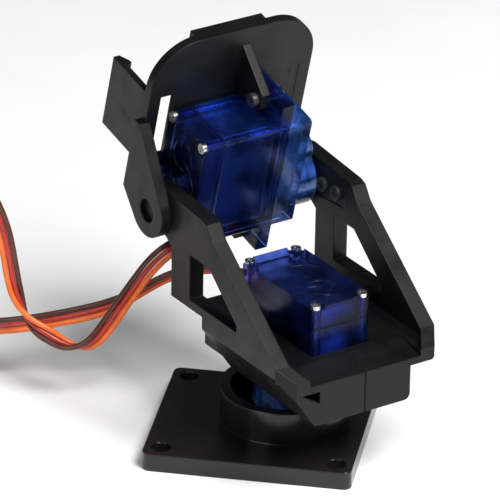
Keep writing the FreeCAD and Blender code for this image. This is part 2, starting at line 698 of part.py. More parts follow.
def make_motor(servo):
    """Round can with two flats, a raised bearing boss and two terminals."""
    can = cylinder(MOTOR_RADIUS, MOTOR_LOW, size["servo_deck_low"] - 0.1)
    flats = Part.makeBox(8.2, 12, 20, Vector(-4.1, -6, 0))
    can = can.common(flats)
    boss = cylinder(MOTOR_BOSS - 0.1, size["servo_deck_low"] - 0.1, 16.6)
    terminals = [Part.makeBox(0.6, 1.2, 0.5, Vector(x, -0.6, MOTOR_LOW - 0.5)) for x in (-2.4, 1.8)]
    motor = can.fuse([boss] + terminals).removeSplitter()
    motor = motor.cut(cylinder(MOTOR_SHAFT + size["running_gap"], 13.8, 17))
    motor.translate(Vector(0, -size["motor_axis"], 0))
    return solids_node(servo + "_servo_motor", [motor])


def make_sensor(servo):
    """The position sensor below the output shaft."""
    shell = cylinder(4.0, 9.6, 14.2)
    neck = cylinder(1.9, 14.2, size["servo_deck_low"] - 0.1)
    legs = [Part.makeBox(0.5, 0.3, 7.0, Vector(x - 0.25, 2.4, 2.75)) for x in (-2.0, 0.0, 2.0)]
    bore = cylinder(WIPER_RADIUS + size["running_gap"], 10.4, 16)
    sensor = shell.fuse([neck] + legs).removeSplitter().cut(bore)
    return solids_node(servo + "_servo_sensor", [sensor])


def make_circuit_board(servo):
    board = Part.makeBox(9.6, 16.0, 0.8, Vector(-4.8, -13.6, 1.2))
    chips = [Part.makeBox(4.0, 5.0, 0.5, Vector(-2.0, -10.5, 2.0)),
             Part.makeBox(1.6, 0.9, 0.5, Vector(2.6, -4.6, 2.0)),
             Part.makeBox(1.6, 0.9, 0.5, Vector(-4.2, -4.6, 2.0)),
             Part.makeBox(2.9, 1.5, 0.6, Vector(-4.3, -1.6, 2.0))]
    return solids_node(servo + "_servo_circuit_board", [board.fuse(chips).removeSplitter()])


# ---------------------------------------------------------------- yoke

YOKE_SCREW_LENGTH = 15.0
YOKE_SCREW_SEAT = 8.2
YOKE_SCREW_SPARE = 1.2
YOKE_SCREW_HEAD = 1.7
YOKE_SCREW_HEAD_HEIGHT = 1.2
YOKE_SCREW_Z = 19.5
YOKE_SCREW_Y = {"rear": -20.6, "front": 9.0}


def trough_section(side):
    """Half of the U-shaped trough: floor, inner and outer bevels and the foot of the arm."""
    inner = "arm_inner"
    points = [("0", "trough_under"),
              ("arm_outer - outer_bevel", "trough_under"),
              ("arm_outer", "trough_under + outer_bevel"),
              ("arm_outer", "slope_foot"),
              (inner, "slope_foot"),
              (inner, "trough_floor + inner_bevel"),
              (inner + " - inner_bevel", "trough_floor"),
              ("0", "trough_floor")]
    return [("%d * (%s)" % (side, u), v) for u, v in points]


def web_section():
    """Sloping gusset of the left half, from the arm down to the bottom of the servo box."""
    return [("0 - arm_outer", "trough_under + outer_bevel"),
            ("0 - box_half - web_foot", "box_under"),
            ("0.2 - box_half", "box_under"),
            ("0.2 - box_half", "trough_under - web_void"),
            ("0 - box_half - web_void_reach", "trough_under"),
            ("0 - box_half - web_void_reach", "trough_under + outer_bevel")]


def foot_plan(side):
    """Plan of an arm's foot, which turns inwards to meet the rear face."""
    points = [("arm_outer", "arm_rear"), ("arm_outer - foot_taper", "box_rear"),
              ("arm_inner - foot_taper", "box_rear"), ("arm_inner", "arm_rear")]
    return [("%d * (%s)" % (side, u), v) for u, v in points]


def shape_rear_edge(body, side):
    """Trims the rear corner to the foot, slopes its top, bevels the seam and ramps the floor."""
    corner = [("arm_outer", "arm_rear"), ("arm_outer + 1", "arm_rear"),
              ("arm_outer + 1", "box_rear"), ("arm_outer - foot_taper", "box_rear")]
    mirrored = [("%d * (%s)" % (side, u), v) for u, v in corner]
    add_block(body, "XY_Plane", mirrored, "box_under", "slope_foot - box_under", "Pocket")
    start = "0 - arm_outer" if side < 0 else "0"
    slope = [("box_rear", "foot_end"), ("arm_rear", "slope_foot"), ("box_rear", "slope_foot")]
    add_block(body, "YZ_Plane", slope, start, "arm_outer", "Pocket")
    groove = [("0", "box_rear"), ("%d * seam_groove" % side, "box_rear"),
              ("0", "box_rear + seam_groove")]
    add_block(body, "XY_Plane", groove, "box_under", "trough_floor - box_under", "Pocket")
    reach = "arm_inner - foot_taper"
    start = "0 - (%s)" % reach if side < 0 else "0"
    ramp = [("box_rear", "floor_edge"), ("box_rear + floor_ramp", "trough_floor"),
            ("box_rear", "trough_floor")]
    add_block(body, "YZ_Plane", ramp, start, reach, "Pocket")


def arm_profile():
    """Side outline of an arm as Y and Z, without the round eye at the tilt axis."""
    return [("arm_rear", "trough_floor + 0.4"),
            ("arm_rear", "slope_foot"),
            ("-0.9", "pivot_z + 0.4"),
            ("1.0", "pivot_z + 3.1"),
            ("2.4", "pivot_z + 3.6"),
            ("pivot_y - 0.8", "pivot_z + arm_eye * 0.986"),
            ("pivot_y", "pivot_z"),
            ("pivot_y - 2.6", "pivot_z - arm_eye * 0.85"),
            ("arm_front", "pivot_z - 5.6"),
            ("arm_front", "band_low"),
            ("skirt_front", "band_low"),
            ("skirt_front", "trough_floor + 0.4")]


def arm_window():
    """The opening in the side of an arm."""
    return [("arm_front - 5.9", "pivot_z - 4.8"),
            ("arm_front - 5.9", "band_low + 1.7"),
            ("-9.0", "band_low + 1.7"),
            ("-9.0", "band_low + 3.0"),
            ("0.0", "pivot_z - 4.8")]


def is_box_corner(edge):
    place = edge.Vertexes[0].Point
    return (is_line_along(edge, Y_AXIS) and abs(place.z - size["box_under"]) < 1e-6
            and abs(place.x - size["box_half"]) < 1e-6)


def make_yoke_half(label, side):
    """One half of the yoke: half the servo box and trough with its arm; side is -1 or 1."""
    body = new_body(label)
    arm_start = "arm_inner" if side > 0 else "0 - arm_outer"
    add_block(body, "XZ_Plane", trough_section(side), "0 - skirt_front", "skirt_front - box_rear")
    box = rectangle("0", "box_under", "%d * box_half" % side, "trough_floor")
    add_block(body, "XZ_Plane", box, "0 - box_front", "box_front - box_rear")
    if side > 0:
        round_edges(body, "box_corner", is_box_corner)
    lip_half = "%d * (box_half - lip_inset)" % side
    lip = rectangle("0", "box_rear + lip_inset", lip_half, "box_front - 0.4")
    add_block(body, "XY_Plane", lip, "box_under - lip_drop", "lip_drop + 1")
    if side < 0:
        add_block(body, "XZ_Plane", web_section(), "0 - skirt_front", "skirt_front - box_rear")
    add_block(body, "XY_Plane", foot_plan(side), "trough_floor - 0.5",
              "slope_foot - trough_floor + 0.5")
    shape_rear_edge(body, side)
    add_block(body, "YZ_Plane", arm_profile(), arm_start, "arm_thick")
    add_round(body, "YZ_Plane", "pivot_y", "pivot_z", "arm_eye", arm_start, "arm_thick")
    add_block(body, "YZ_Plane", arm_window(), arm_start, "arm_thick", "Pocket")
    case_half = "%d * (servo_width / 2 + fit_gap)" % side
    case_hole = rectangle("0", "0 - servo_far - fit_gap", case_half, "servo_near + fit_gap")
    add_block(body, "XY_Plane", case_hole, "box_under - lip_drop",
              "trough_floor - box_under + lip_drop + 1", "Pocket")
    flange_hole = rectangle("0", "0 - servo_far - flange_reach - fit_gap", case_half,
                            "servo_near + flange_reach + fit_gap")
    flange_bottom = "pan_servo_top - flange_top - fit_gap"
    add_block(body, "XY_Plane", flange_hole, flange_bottom,
              "flange_top - flange_low + 2 * fit_gap", "Pocket")
    cut_screw_holes(body, side)
    if side < 0:
        add_round(body, "YZ_Plane", "pivot_y", "pivot_z", "peg_dia / 2",
                  "0 - arm_outer - ear_gap - ear_thick + peg_recess",
                  "ear_gap + ear_thick - peg_recess + 0.4")
    else:
        cut_horn_seat(body)
    body.Placement = YOKE
    return body


def cut_screw_holes(body, side):
    """Clearance and head recess in the right half, blind pilot hole in the left half."""
    radius = "yoke_screw_dia / 2 + fit_gap"
    blind = YOKE_SCREW_LENGTH - YOKE_SCREW_SEAT + YOKE_SCREW_SPARE
    for y in YOKE_SCREW_Y.values():
        if side < 0:
            add_round(body, "YZ_Plane", str(y), str(YOKE_SCREW_Z), radius, "%g" % -blind,
                      "%g" % blind, "Pocket")
        else:
            add_round(body, "YZ_Plane", str(y), str(YOKE_SCREW_Z), radius, "0",
                      "%g" % YOKE_SCREW_SEAT, "Pocket")
            add_round(body, "YZ_Plane", str(y), str(YOKE_SCREW_Z), str(YOKE_SCREW_HEAD + 0.15),
                      "%g" % YOKE_SCREW_SEAT, "arm_outer - %g" % YOKE_SCREW_SEAT, "Pocket")


def cut_horn_seat(body):
    """The slot in the right arm's inner face that takes the tilt horn, and its holes."""
    add_round(body, "YZ_Plane", "pivot_y", "pivot_z", "hub_dia / 2 + fit_gap", "arm_inner",
              "arm_thick", "Pocket")
    outline = horn_outline("tilt", size["fit_gap"])
    seat = [("pivot_y - %g" % x, "pivot_z + %g" % y) for x, y in outline]
    arm_end = HORN_ARM_START["tilt"] + size["horn_arm_thick"] + size["tilt_servo_start"]
    add_block(body, "YZ_Plane", seat, "arm_inner", "%g + fit_gap - arm_inner" % arm_end, "Pocket")
    holes = new_sketch(body, "YZ_Plane", "arm_inner")
    for distance in HORN_SCREWS["tilt"]:
        draw_circle(holes, "pivot_y - %g" % distance, "pivot_z",
                    str(HORN_SCREW_RADIUS + size["fit_gap"]))
    extrude(body, "Pocket", holes, "arm_thick")


def make_yoke_screws():
    body = screw(size["yoke_screw_dia"] / 2, YOKE_SCREW_LENGTH, YOKE_SCREW_HEAD,
                 YOKE_SCREW_HEAD_HEIGHT)
    spots = [Vector(YOKE_SCREW_SEAT, y, YOKE_SCREW_Z) for y in YOKE_SCREW_Y.values()]
    node = solids_node("yoke_screws", [moved(body, spot, X_AXIS * -1) for spot in spots])
    node.Placement = YOKE
    return node


# ---------------------------------------------------------------- head

MOUNT_SCREW_RADIUS = 0.95
MOUNT_SCREW_LENGTH = 5.0
MOUNT_SCREW_HEAD = 1.2
MOUNT_SCREW_HEAD_HEIGHT = 1.1
MOUNT_SCREW_P = {"upper": size["servo_far"] + size["flange_hole_at"],
                 "lower": -size["servo_near"] - size["flange_hole_at"]}


def make_camera_plate():
    """Plate, ear, fins, clips and top ledge, drawn with the tilt axis as the origin."""
    body = new_body("camera_plate")
    left = "plate_mid - plate_half"
    right = "plate_mid + plate_half"
    # XZ sketches are pushed along -Y, so a start of -n puts them at n ahead of the tilt axis.
    front = "0 - plate_back - plate_thick"
    add_block(body, "XZ_Plane", rectangle(left, "plate_low", right, "plate_top"), front,
              "plate_thick")
    round_edges(body, "plate_corner", lambda edge: is_line_along(edge, Y_AXIS)
                and edge.Vertexes[0].Z > size["plate_top"] - 1)
    tongue = rectangle("0 - tongue_half", "tongue_low", "tongue_half", "plate_low + 1")
    add_block(body, "XZ_Plane", tongue, front, "plate_thick")
    for direction in (-1, 1):
        middle = "plate_mid + %d * slot_offset" % direction
        slot = rectangle(middle + " - slot_width / 2", "slot_low",
                         middle + " + slot_width / 2", "slot_high")
        add_block(body, "XZ_Plane", slot, front, "plate_thick", "Pocket")
        add_clip(body, direction)
    add_ledge(body)
    add_ear(body)
    add_fins(body)
    body.Placement = HEAD
    return body


def add_clip(body, direction):
    """A springy side wall of the camera bay with a barb along its front end."""
    root = "%d * plate_half + plate_mid" % direction
    inner = root + " - %d * clip_thick" % direction
    barb = inner + " - %d * clip_barb" % direction
    front = "plate_back + plate_thick + clip_reach"
    outline = [(root, "plate_back + 0.2"), (root, front), (inner, front),
               (barb, front + " - 2.0"), (barb, front + " - 2.6"), (inner, front + " - 2.9"),
               (inner, "plate_back + 0.2")]
    add_block(body, "XY_Plane", outline, "clip_low", "clip_high - clip_low")


def add_ledge(body):
    centre = "plate_mid + ledge_shift"
    outline = rectangle(centre + " - ledge_half", "plate_top - ledge_height",
                        centre + " + ledge_half", "plate_top")
    add_block(body, "XZ_Plane", outline, "0 - plate_back - plate_thick - ledge_reach",
              "plate_thick + ledge_reach")


def add_ear(body):
    """Side ear with a round end that turns on the peg of the left arm."""
    start = "0 - arm_outer - ear_gap - ear_thick"
    front = "plate_back + plate_thick"
    outline = [(front, "0"), ("0.6 * ear_radius", "0 - 0.8 * ear_radius"), ("0", "0"),
               ("0 - 0.8 * ear_radius", "0.6 * ear_radius"), ("plate_back", "14.6"),
               (front, "14.6")]
    add_block(body, "YZ_Plane", outline, start, "ear_thick")
    add_round(body, "YZ_Plane", "0", "0", "ear_radius", start, "ear_thick")
    web = rectangle(start, "0", "plate_mid - plate_half + 1", "14.6")
    add_block(body, "XZ_Plane", web, "0 - plate_back - plate_thick", "plate_thick")
    add_round(body, "YZ_Plane", "0", "0", "peg_dia / 2 + running_gap", start, "ear_thick",
              "Pocket")


def add_fins(body):
    """Upper and lower fins; the servo flange is screwed to their right faces."""
    start = "tilt_servo_start + flange_low - fin_thick"
    upper = [("plate_back + 0.5", "fin_top"), ("fin_nose", "fin_nose_high"),
             ("fin_nose", "fin_low"), ("plate_back + 0.5", "servo_far + 0.1")]
    low = "0 - servo_near - 0.1"
    lower = [("plate_back + 0.5", low), ("fin_nose", low), ("fin_nose", "tongue_low"),
             ("plate_back + 0.5", "tongue_low")]
    for outline in (upper, lower):
        add_block(body, "YZ_Plane", outline, start, "fin_thick")
    holes = new_sketch(body, "YZ_Plane", start)
    for p in MOUNT_SCREW_P.values():
        draw_circle(holes, "0", str(p), str(MOUNT_SCREW_RADIUS + size["fit_gap"]))
    extrude(body, "Pocket", holes, "fin_thick")


def make_servo_mount_screws():
    body = screw(MOUNT_SCREW_RADIUS, MOUNT_SCREW_LENGTH, MOUNT_SCREW_HEAD,
                 MOUNT_SCREW_HEAD_HEIGHT)
    seat = size["tilt_servo_start"] + size["flange_low"] - size["fin_thick"]
    spots = [Vector(seat, 0, p) for p in MOUNT_SCREW_P.values()]
    node = solids_node("tilt_servo_mount_screws", [moved(body, spot, X_AXIS) for spot in spots])
    node.Placement = HEAD
    return node


# ---------------------------------------------------------------- cables

# Each cable runs from its servo through these points of the base frame, at rest.  The second
# vector points from the middle wire to the first one, so the flat cable twists as it goes.
PAN_CABLE = [
    ((-7.5, 7.5, 27.6), (-0.6, -0.6, 0.4)),
    ((-11.5, 9.5, 26.6), (-0.3, -0.6, 0.6)),
    ((-16.9, 11.0, 25.6), (-0.1, -0.6, 0.8)),
    ((-23.2, 12.0, 23.1), (0.1, -0.5, 0.8)),
    ((-30.5, 11.0, 18.6), (0.0, -0.3, 1.0)),
    ((-35.9, 10.5, 15.8), (-0.1, 0.3, 0.9)),
    ((-43.2, 10.0, 13.5), (-0.1, 0.4, 0.9)),
    ((-48.8, 10.0, 11.9), (-0.1, 0.4, 0.9)),
    ((-58.0, 10.0, 10.2), (-0.1, 0.4, 0.9)),
]
TILT_CABLE = [
    ((-20.3, 7.5, 33.2), (-0.7, 0.6, 0.4)),
    ((-22.9, 6.5, 30.8), (-0.7, 0.2, 0.6)),
    ((-27.7, 5.5, 25.1), (-0.8, 0.2, 0.6)),
    ((-31.2, 5.0, 19.4), (-0.9, 0.1, 0.5)),
    ((-34.2, 4.5, 14.5), (-0.6, 0.0, 0.7)),
    ((-37.2, 4.0, 11.6), (-0.1, -0.6, 0.8)),
    ((-40.5, 4.0, 11.3), (0.1, -1.0, -0.1)),
    ((-43.8, 4.0, 12.7), (-0.3, -0.4, -0.8)),
    ((-47.1, 4.5, 14.6), (-0.5, 0.4, -0.7)),
    ((-49.6, 5.0, 18.3), (0.4, 0.9, -0.2)),
    ((-51.2, 5.0, 24.8), (0.9, 0.2, 0.1)),
    ((-52.7, 5.0, 32.7), (1.0, 0.2, 0.2)),
    ((-55.0, 5.0, 38.5), (0.9, 0.2, 0.3)),
    ((-58.0, 5.0, 43.0), (0.8, 0.2, 0.5)),
]


def sweep_wire(points, radius):
    """A round wire along a smooth curve through the points."""
    curve = Part.BSplineCurve()
    curve.interpolate(points)
    spine = Part.Wire([curve.toShape()])
    start = curve.value(curve.FirstParameter)
    along = curve.tangent(curve.FirstParameter)[0]
    ring = Part.Wire([Part.Circle(start, along, radius).toShape()])
    return spine.makePipeShell([ring], True, True)


CABLE_PARTING = 0.1


def make_cable(table, servo_frame, exit_order):
    """Three wires side by side, from inside the servo's cable slot to the plug."""
    wires = []
    for lane in (-1, 0, 1):
        shift = lane * size["wire_pitch"]
        points = [servo_frame.multVec(Vector(shift * exit_order, size["servo_near"] + y,
                                             size["wire_height"]))
                  for y in (-1.3, 0.0, 1.2)]
        points += [Vector(*spot) + Vector(*side).normalize() * shift for spot, side in table]
        wires.append(sweep_wire(points, size["wire_dia"] / 2))
    return wires


def part_cable(wires):
    """The tilt cable in two: a root that swings with the head and the length that hangs free."""
    middle = YOKE.multVec(PIVOT.Base)
    along = YOKE.Rotation.multVec(X_AXIS)
    reach = size["arm_outer"]
    swept = [Part.makeCylinder(size["cable_clear"] + gap, 2 * reach, middle - along * reach, along)
             for gap in (-CABLE_PARTING / 2, CABLE_PARTING / 2)]
    solids_node("tilt_servo_cable_root", [wire.common(swept[0]) for wire in wires])
    solids_node("tilt_servo_cable", [wire.cut(swept[1]) for wire in wires])


PLUG_GAP = 0.1
CONTACT_PITCH = 2.54
SOCKET_WIDTH = 1.1
SOCKET_DEPTH = 8.0
LATCH_WINDOW = (1.2, 0.6, 3.0)
LATCH_START = 5.5


def make_plug(servo, table):
    """The flat three-way plug at the free end, with a socket for each contact."""
    last, side = table[-1]
    along = (Vector(*last) - Vector(*table[-2][0])).normalize()
    across = Vector(*side).normalize()
    flat = along.cross(across).normalize()
    across = flat.cross(along)
    start = Vector(*last) + along * PLUG_GAP
    length, width, thick = size["plug_length"], size["plug_width"], size["plug_thick"]
    shell = Part.makeBox(width, thick, length, Vector(-width / 2, -thick / 2, 0))
    for lane in (-1, 0, 1):
        middle = lane * CONTACT_PITCH
        corner = Vector(middle - SOCKET_WIDTH / 2, -SOCKET_WIDTH / 2, length - SOCKET_DEPTH)
        shell = shell.cut(Part.makeBox(SOCKET_WIDTH, SOCKET_WIDTH, SOCKET_DEPTH, corner))
        corner = Vector(middle - LATCH_WINDOW[0] / 2, thick / 2 - LATCH_WINDOW[1], LATCH_START)
        shell = shell.cut(Part.makeBox(*LATCH_WINDOW, corner))
    node = solids_node(servo + "_cable_plug", [shell])
    node.Placement = placement(start, across, flat, along)
    return node


# ---------------------------------------------------------------- assembly

def make_servo(servo, case_frame, shaft_frame):
    """All parts of one servo; shaft_frame carries what stays with the horn."""
    fixed = [make_bottom_cover(servo), make_case_body(servo), make_gear_cover(servo),
             make_case_screws(servo), make_motor(servo), make_motor_pinion(servo),
             make_gear_pin(servo), make_sensor(servo), make_circuit_board(servo)]
    fixed += make_gears(servo)
    for item in fixed:
        item.Placement = case_frame
    far = (shaft_frame.inverse() * case_frame).Rotation.multVec(Y_AXIS * -1)
    far_angle = math.degrees(math.atan2(far.y, far.x))
    turning = [make_output_gear(servo, far_angle), make_wiper(servo), make_horn(servo),
               make_horn_centre_screw(servo), make_horn_screws(servo)]
    for item in turning:
        item.Placement = shaft_frame


make_base_plate()
make_servo("pan", YOKE * PAN_SERVO_AT, BASE * PAN_SERVO_AT)
make_yoke_half("yoke_left", -1)
make_yoke_half("yoke_right", 1)
make_yoke_screws()
make_servo("tilt", HEAD * TILT_SERVO_AT, YOKE * PIVOT * TILT_SERVO_AT)
make_camera_plate()
make_servo_mount_screws()
solids_node("pan_servo_cable", make_cable(PAN_CABLE, YOKE * PAN_SERVO_AT, 1))
make_plug("pan", PAN_CABLE)
part_cable(make_cable(TILT_CABLE, HEAD * TILT_SERVO_AT, -1))
make_plug("tilt", TILT_CABLE)
doc.recompute()

NODES = [item for item in doc.Objects
         if item.TypeId == "PartDesign::Body" or item.TypeId == "Part::Feature"]
for item in doc.Objects:
    if "Invalid" in item.State or "Error" in item.State:
        raise ValueError("%s: %s" % (item.Label, item.State))
os.makedirs("parts", exist_ok=True)
for node in NODES:
    if node.Shape.isNull() or not node.Shape.isValid():
        raise ValueError("bad shape: " + node.Label)
    node.Shape.exportStep("parts/%s.step" % node.Label)
    print("%-28s %2d solids %9.2f mm3" % (node.Label, len(node.Shape.Solids), node.Shape.Volume))
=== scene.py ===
import json
import math

import bpy
from mathutils import Matrix, Vector


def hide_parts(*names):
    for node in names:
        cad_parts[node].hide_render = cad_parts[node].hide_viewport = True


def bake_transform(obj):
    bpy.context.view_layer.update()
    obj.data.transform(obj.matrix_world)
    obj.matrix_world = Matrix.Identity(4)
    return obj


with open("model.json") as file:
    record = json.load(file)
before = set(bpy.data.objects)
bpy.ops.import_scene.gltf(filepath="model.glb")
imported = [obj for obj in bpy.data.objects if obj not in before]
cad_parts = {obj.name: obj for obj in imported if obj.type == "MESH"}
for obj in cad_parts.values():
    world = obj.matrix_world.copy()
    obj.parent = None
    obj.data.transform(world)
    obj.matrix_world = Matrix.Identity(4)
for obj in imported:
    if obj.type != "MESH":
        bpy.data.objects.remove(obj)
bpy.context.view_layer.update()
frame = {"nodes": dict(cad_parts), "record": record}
nodes = frame["nodes"]

MM = 0.001


# ---------------------------------------------------------------- node material helpers

def new_material(name):
    """An empty node material: its node tree and output node."""
    material = bpy.data.materials.new(name)
    material.use_nodes = True
    tree = material.node_tree
    tree.nodes.clear()
    output = tree.nodes.new("ShaderNodeOutputMaterial")
    return material, tree, output


def add_node(tree, kind, **inputs):
    """A node with some of its inputs set; names use _ for spaces."""
    made = tree.nodes.new(kind)
    for name, value in inputs.items():
        made.inputs[name.replace("_", " ")].default_value = value
    return made


def noise(tree, size, detail=3.0, roughness=0.5):
    """Noise whose features are about size metres across, fixed to the object."""
    place = tree.nodes.new("ShaderNodeTexCoord")
    texture = add_node(tree, "ShaderNodeTexNoise", Scale=1 / size, Detail=detail,
                       Roughness=roughness)
    tree.links.new(place.outputs["Object"], texture.inputs["Vector"])
    return texture.outputs["Fac"]


def remap(tree, source, low, high, start=0.3, end=0.7):
    """source from start..end spread over low..high."""
    ramp = add_node(tree, "ShaderNodeMapRange", From_Min=start, From_Max=end, To_Min=low,
                    To_Max=high)
    tree.links.new(source, ramp.inputs["Value"])
    return ramp.outputs["Result"]


def tint(tree, factor, dark, light):
    """A colour between dark and light."""
    mix = tree.nodes.new("ShaderNodeMix")
    mix.data_type = "RGBA"
    tree.links.new(factor, mix.inputs["Factor"])
    mix.inputs["A"].default_value = (*dark, 1)
    mix.inputs["B"].default_value = (*light, 1)
    return mix.outputs["Result"]


EDGE_SAMPLES = 4


def surface_normal(tree, height, strength, distance, edge_radius=0.0):
    """Fine bumps on top of softly rounded edges."""
    bump = add_node(tree, "ShaderNodeBump", Strength=strength, Distance=distance)
    tree.links.new(height, bump.inputs["Height"])
    if edge_radius > 0:
        edge = tree.nodes.new("ShaderNodeBevel")
        edge.samples = EDGE_SAMPLES
        edge.inputs["Radius"].default_value = edge_radius
        tree.links.new(edge.outputs["Normal"], bump.inputs["Normal"])
    return bump.outputs["Normal"]


GLOSS_PATCH_SHARE = 0.4
GRAIN_DEPTH_SHARE = 0.4


def principled(name, dark, light, rough_low, rough_high, patch, grain, bump, metallic=0.0,
               edge_radius=0.0, specular=0.5):
    """A solid material: patchy colour and gloss, fine grain and rounded edges."""
    material, tree, output = new_material(name)
    shader = add_node(tree, "ShaderNodeBsdfPrincipled", Metallic=metallic)
    shader.inputs["Specular IOR Level"].default_value = specular
    patches = noise(tree, patch)
    colour = tint(tree, remap(tree, patches, 0.0, 1.0), dark, light)
    tree.links.new(colour, shader.inputs["Base Color"])
    gloss = remap(tree, noise(tree, patch * GLOSS_PATCH_SHARE, 5.0), rough_low, rough_high)
    tree.links.new(gloss, shader.inputs["Roughness"])
    fine = noise(tree, grain, 4.0, 0.6)
    normal = surface_normal(tree, fine, bump, grain * GRAIN_DEPTH_SHARE, edge_radius)
    tree.links.new(normal, shader.inputs["Normal"])
    tree.links.new(shader.outputs["BSDF"], output.inputs["Surface"])
    return material


CLOUD_SIZE = 5 * MM
CLOUD_RANGE = (0.38, 0.62)
GLOW_LOW = 0.4
HAZE_SPREAD = 0.5
RIPPLE_SIZE = 3 * MM
RIPPLE_STRENGTH = 0.05
RIPPLE_HEIGHT = 0.05 * MM
SKIN_IOR = 1.3


def clear_plastic(name, passing, glow, haze, rough, edge_radius, depth):
    """Clear tinted plastic: tinted see-through, a glow of scattered light and a glossy skin.

    Its darkest patches pass only the share depth of the light that its clearest patches pass.
    """
    material, tree, output = new_material(name)
    through = tree.nodes.new("ShaderNodeBsdfTransparent")
    cloud = remap(tree, noise(tree, CLOUD_SIZE), 0.0, 1.0, *CLOUD_RANGE)
    deep = [channel * depth for channel in passing]
    tree.links.new(tint(tree, cloud, deep, passing), through.inputs["Color"])
    front = tree.nodes.new("ShaderNodeBsdfDiffuse")
    back = tree.nodes.new("ShaderNodeBsdfTranslucent")
    scatter = add_node(tree, "ShaderNodeMixShader", Fac=0.5)
    glow_colour = tint(tree, cloud, [channel * GLOW_LOW for channel in glow], glow)
    for shader, socket in ((front, 1), (back, 2)):
        tree.links.new(glow_colour, shader.inputs["Color"])
        tree.links.new(shader.outputs["BSDF"], scatter.inputs[socket])
    inner = tree.nodes.new("ShaderNodeMixShader")
    hazy = remap(tree, cloud, haze * (1 - HAZE_SPREAD), haze * (1 + HAZE_SPREAD), 0.0, 1.0)
    tree.links.new(hazy, inner.inputs["Fac"])
    tree.links.new(through.outputs["BSDF"], inner.inputs[1])
    tree.links.new(scatter.outputs["Shader"], inner.inputs[2])
    ripple = noise(tree, RIPPLE_SIZE, 2.0)
    normal = surface_normal(tree, ripple, RIPPLE_STRENGTH, RIPPLE_HEIGHT, edge_radius)
    skin = add_node(tree, "ShaderNodeBsdfGlossy", Roughness=rough)
    fresnel = add_node(tree, "ShaderNodeFresnel", IOR=SKIN_IOR)
    tree.links.new(normal, skin.inputs["Normal"])
    tree.links.new(normal, fresnel.inputs["Normal"])
    whole = tree.nodes.new("ShaderNodeMixShader")
    tree.links.new(fresnel.outputs["Fac"], whole.inputs["Fac"])
    tree.links.new(inner.outputs["Shader"], whole.inputs[1])
    tree.links.new(skin.outputs["BSDF"], whole.inputs[2])
    tree.links.new(whole.outputs["Shader"], output.inputs["Surface"])
    return material


# ---------------------------------------------------------------- the object's materials

def make_materials():
    """A material for each record slot, its variants, and the three wire colours."""
    made = {}
    made["black_nylon"] = principled(
        "black_nylon", (0.003, 0.003, 0.0034), (0.007, 0.0068, 0.007), 0.28, 0.46, 9 * MM,
        0.12 * MM, 0.35, edge_radius=0.35 * MM, specular=0.23)
    made["base_nylon"] = principled(
        "base_nylon", (0.007, 0.006, 0.0068), (0.012, 0.0105, 0.0115), 0.12, 0.24, 14 * MM,
        0.3 * MM, 0.10, edge_radius=0.5 * MM, specular=0.45)
    made["blue_case"] = clear_plastic(
        "blue_case", (0.37, 0.52, 0.94), (0.02, 0.11, 0.76), 0.06, 0.18, 0.25 * MM, 0.58)
    # The bottom covers are the same blue plastic as the case; this darker copy of it is painted
    # shade.
    made["blue_cover_shaded"] = clear_plastic(
        "blue_cover_shaded", (0.31, 0.42, 0.87), (0.02, 0.06, 0.40), 0.05, 0.2, 0.25 * MM, 0.62)
    # The gear covers are the same blue plastic as the case; this lighter, hazier copy of it is
    # painted light.
    made["blue_gear_cover_lit"] = clear_plastic(
        "blue_gear_cover_lit", (0.62, 0.76, 0.99), (0.06, 0.24, 0.95), 0.20, 0.14, 0.25 * MM, 0.6)
    made["white_nylon"] = principled(
        "white_nylon", (0.7, 0.69, 0.64), (0.85, 0.84, 0.8), 0.35, 0.5, 4 * MM, 0.1 * MM, 0.15,
        edge_radius=0.08 * MM)
    made["steel"] = principled(
        "steel", (0.55, 0.54, 0.52), (0.75, 0.74, 0.71), 0.18, 0.34, 1.2 * MM, 0.06 * MM, 0.2,
        metallic=1.0, edge_radius=0.08 * MM)
    made["black_steel"] = principled(
        "black_steel", (0.05, 0.05, 0.052), (0.11, 0.105, 0.1), 0.25, 0.42, 1.0 * MM, 0.05 * MM,
        0.25, metallic=0.7, edge_radius=0.08 * MM)
    made["motor_can"] = principled(
        "motor_can", (0.6, 0.6, 0.6), (0.8, 0.8, 0.78), 0.35, 0.55, 3 * MM, 0.08 * MM, 0.2,
        metallic=0.6, edge_radius=0.2 * MM)
    made["pinion_brass"] = principled(
        "pinion_brass", (0.6, 0.42, 0.16), (0.8, 0.6, 0.25), 0.2, 0.35, 1 * MM, 0.05 * MM, 0.15,
        metallic=1.0, edge_radius=0.04 * MM)
    made["sensor_black"] = principled(
        "sensor_black", (0.02, 0.02, 0.02), (0.05, 0.05, 0.05), 0.4, 0.6, 2 * MM, 0.1 * MM, 0.2)
    made["board_green"] = principled(
        "board_green", (0.01, 0.08, 0.03), (0.03, 0.16, 0.06), 0.2, 0.4, 1.5 * MM, 0.1 * MM, 0.2)
    made["plug_black"] = principled(
        "plug_black", (0.014, 0.014, 0.015), (0.03, 0.03, 0.03), 0.35, 0.5, 3 * MM, 0.1 * MM,
        0.3, edge_radius=0.2 * MM)
    for name, dark, light in (("wire_brown", (0.05, 0.012, 0.006), (0.09, 0.022, 0.012)),
                              ("wire_red", (0.30, 0.016, 0.01), (0.42, 0.03, 0.016)),
                              ("wire_orange", (0.60, 0.10, 0.012), (0.78, 0.15, 0.02))):
        made[name] = principled(name, dark, light, 0.28, 0.42, 3 * MM, 0.2 * MM, 0.15)
    made["wire_insulation"] = made["wire_red"]
    return made


